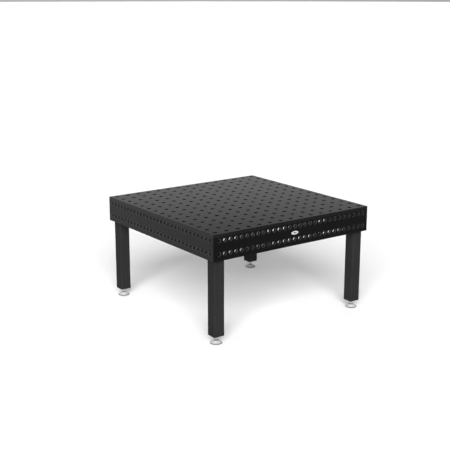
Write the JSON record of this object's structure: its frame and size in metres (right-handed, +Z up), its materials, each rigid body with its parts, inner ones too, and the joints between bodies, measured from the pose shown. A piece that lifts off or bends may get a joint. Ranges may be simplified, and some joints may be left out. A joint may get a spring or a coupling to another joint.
{
  "type": "welding table",
  "caption": "Square perforated welding table: thick ribbed plate box with a 28 mm hole system, on four square legs with screw-adjusted swivel feet.",
  "frame": {"origin": "on the floor under the centre of the table", "axes": "+Z up; -Y is the front, the side with the oval badge; +X is to the right when facing the front"},
  "size_m": [1.5, 1.5008, 0.85],
  "materials": {
    "plate_steel": "satin",
    "rib_steel": "satin",
    "leg_coat": "satin",
    "leg_plate": "satin",
    "bright_zinc": "satin",
    "dark_steel": "satin",
    "foot_chrome": "gloss",
    "foot_rubber": "matte",
    "badge_metal": "satin"
  },
  "bodies": {
    "table": {"top_plate": "plate_steel", "side_wall_front": "plate_steel", "side_wall_back": "plate_steel", "side_wall_left": "plate_steel", "side_wall_right": "plate_steel", "long_rib_left": "rib_steel", "long_rib_right": "rib_steel", "cross_rib_front_left": "rib_steel", "cross_rib_front_middle": "rib_steel", "cross_rib_front_right": "rib_steel", "cross_rib_back_left": "rib_steel", "cross_rib_back_middle": "rib_steel", "cross_rib_back_right": "rib_steel", "leg_tube_front_left": "leg_coat", "leg_post_front_left": "leg_plate", "leg_head_plate_front_left": "leg_plate", "leg_insert_front_left": "leg_plate", "leg_tube_front_right": "leg_coat", "leg_post_front_right": "leg_plate", "leg_head_plate_front_right": "leg_plate", "leg_insert_front_right": "leg_plate", "leg_tube_back_left": "leg_coat", "leg_post_back_left": "leg_plate", "leg_head_plate_back_left": "leg_plate", "leg_insert_back_left": "leg_plate", "leg_tube_back_right": "leg_coat", "leg_post_back_right": "leg_plate", "leg_head_plate_back_right": "leg_plate", "leg_insert_back_right": "leg_plate", "leg_bolts": "bright_zinc", "leg_bolt_washers": "bright_zinc", "badge_plate": "badge_metal", "badge_rivets": "badge_metal"},
    "ball_front_left": {"swivel_ball_front_left": "dark_steel"},
    "spindle_front_left": {"foot_spindle_front_left": "bright_zinc"},
    "disc_front_left": {"foot_disc_front_left": "foot_chrome", "foot_pad_front_left": "foot_rubber"},
    "washer_front_left": {"lock_washer_front_left": "bright_zinc"},
    "nut_front_left": {"lock_nut_front_left": "bright_zinc"},
    "ball_front_right": {"swivel_ball_front_right": "dark_steel"},
    "spindle_front_right": {"foot_spindle_front_right": "bright_zinc"},
    "disc_front_right": {"foot_disc_front_right": "foot_chrome", "foot_pad_front_right": "foot_rubber"},
    "washer_front_right": {"lock_washer_front_right": "bright_zinc"},
    "nut_front_right": {"lock_nut_front_right": "bright_zinc"},
    "ball_back_left": {"swivel_ball_back_left": "dark_steel"},
    "spindle_back_left": {"foot_spindle_back_left": "bright_zinc"},
    "disc_back_left": {"foot_disc_back_left": "foot_chrome", "foot_pad_back_left": "foot_rubber"},
    "washer_back_left": {"lock_washer_back_left": "bright_zinc"},
    "nut_back_left": {"lock_nut_back_left": "bright_zinc"},
    "ball_back_right": {"swivel_ball_back_right": "dark_steel"},
    "spindle_back_right": {"foot_spindle_back_right": "bright_zinc"},
    "disc_back_right": {"foot_disc_back_right": "foot_chrome", "foot_pad_back_right": "foot_rubber"},
    "washer_back_right": {"lock_washer_back_right": "bright_zinc"},
    "nut_back_right": {"lock_nut_back_right": "bright_zinc"}
  },
  "joints": [
    {"name": "foot_lift_front_left", "type": "slide", "parent": "table", "child": "ball_front_left", "axis": [0, 0, -1], "range_m": [-0.008, 0.04]},
    {"name": "spindle_turn_front_left", "type": "hinge", "parent": "ball_front_left", "child": "spindle_front_left", "pos_m": [-0.6775, -0.6775, 0.02], "axis": [0, 0, -1], "range_deg": [-965, 4805]},
    {"name": "foot_tilt_front_left", "type": "hinge", "parent": "ball_front_left", "child": "disc_front_left", "pos_m": [-0.6775, -0.6775, 0.02], "axis": [1, 0, 0], "range_deg": [-7, 7]},
    {"name": "nut_travel_front_left", "type": "slide", "parent": "table", "child": "washer_front_left", "axis": [0, 0, -1], "range_m": [0, 0.006]},
    {"name": "nut_turn_front_left", "type": "hinge", "parent": "washer_front_left", "child": "nut_front_left", "pos_m": [-0.6775, -0.6775, 0.0524], "axis": [0, 0, -1], "range_deg": [0, 725]},
    {"name": "foot_lift_front_right", "type": "slide", "parent": "table", "child": "ball_front_right", "axis": [0, 0, -1], "range_m": [-0.008, 0.04]},
    {"name": "spindle_turn_front_right", "type": "hinge", "parent": "ball_front_right", "child": "spindle_front_right", "pos_m": [0.6775, -0.6775, 0.02], "axis": [0, 0, -1], "range_deg": [-965, 4805]},
    {"name": "foot_tilt_front_right", "type": "hinge", "parent": "ball_front_right", "child": "disc_front_right", "pos_m": [0.6775, -0.6775, 0.02], "axis": [1, 0, 0], "range_deg": [-7, 7]},
    {"name": "nut_travel_front_right", "type": "slide", "parent": "table", "child": "washer_front_right", "axis": [0, 0, -1], "range_m": [0, 0.006]},
    {"name": "nut_turn_front_right", "type": "hinge", "parent": "washer_front_right", "child": "nut_front_right", "pos_m": [0.6775, -0.6775, 0.0524], "axis": [0, 0, -1], "range_deg": [0, 725]},
    {"name": "foot_lift_back_left", "type": "slide", "parent": "table", "child": "ball_back_left", "axis": [0, 0, -1], "range_m": [-0.008, 0.04]},
    {"name": "spindle_turn_back_left", "type": "hinge", "parent": "ball_back_left", "child": "spindle_back_left", "pos_m": [-0.6775, 0.6775, 0.02], "axis": [0, 0, -1], "range_deg": [-965, 4805]},
    {"name": "foot_tilt_back_left", "type": "hinge", "parent": "ball_back_left", "child": "disc_back_left", "pos_m": [-0.6775, 0.6775, 0.02], "axis": [1, 0, 0], "range_deg": [-7, 7]},
    {"name": "nut_travel_back_left", "type": "slide", "parent": "table", "child": "washer_back_left", "axis": [0, 0, -1], "range_m": [0, 0.006]},
    {"name": "nut_turn_back_left", "type": "hinge", "parent": "washer_back_left", "child": "nut_back_left", "pos_m": [-0.6775, 0.6775, 0.0524], "axis": [0, 0, -1], "range_deg": [0, 725]},
    {"name": "foot_lift_back_right", "type": "slide", "parent": "table", "child": "ball_back_right", "axis": [0, 0, -1], "range_m": [-0.008, 0.04]},
    {"name": "spindle_turn_back_right", "type": "hinge", "parent": "ball_back_right", "child": "spindle_back_right", "pos_m": [0.6775, 0.6775, 0.02], "axis": [0, 0, -1], "range_deg": [-965, 4805]},
    {"name": "foot_tilt_back_right", "type": "hinge", "parent": "ball_back_right", "child": "disc_back_right", "pos_m": [0.6775, 0.6775, 0.02], "axis": [1, 0, 0], "range_deg": [-7, 7]},
    {"name": "nut_travel_back_right", "type": "slide", "parent": "table", "child": "washer_back_right", "axis": [0, 0, -1], "range_m": [0, 0.006]},
    {"name": "nut_turn_back_right", "type": "hinge", "parent": "washer_back_right", "child": "nut_back_right", "pos_m": [0.6775, 0.6775, 0.0524], "axis": [0, 0, -1], "range_deg": [0, 725]}
  ],
  "couplings": [
    {"joint": "spindle_turn_front_left", "follows": "foot_lift_front_left", "rad_per_m": 2094.4},
    {"joint": "nut_turn_front_left", "follows": "nut_travel_front_left", "rad_per_m": 2094.4},
    {"joint": "spindle_turn_front_right", "follows": "foot_lift_front_right", "rad_per_m": 2094.4},
    {"joint": "nut_turn_front_right", "follows": "nut_travel_front_right", "rad_per_m": 2094.4},
    {"joint": "spindle_turn_back_left", "follows": "foot_lift_back_left", "rad_per_m": 2094.4},
    {"joint": "nut_turn_back_left", "follows": "nut_travel_back_left", "rad_per_m": 2094.4},
    {"joint": "spindle_turn_back_right", "follows": "foot_lift_back_right", "rad_per_m": 2094.4},
    {"joint": "nut_turn_back_right", "follows": "nut_travel_back_right", "rad_per_m": 2094.4}
  ]
}
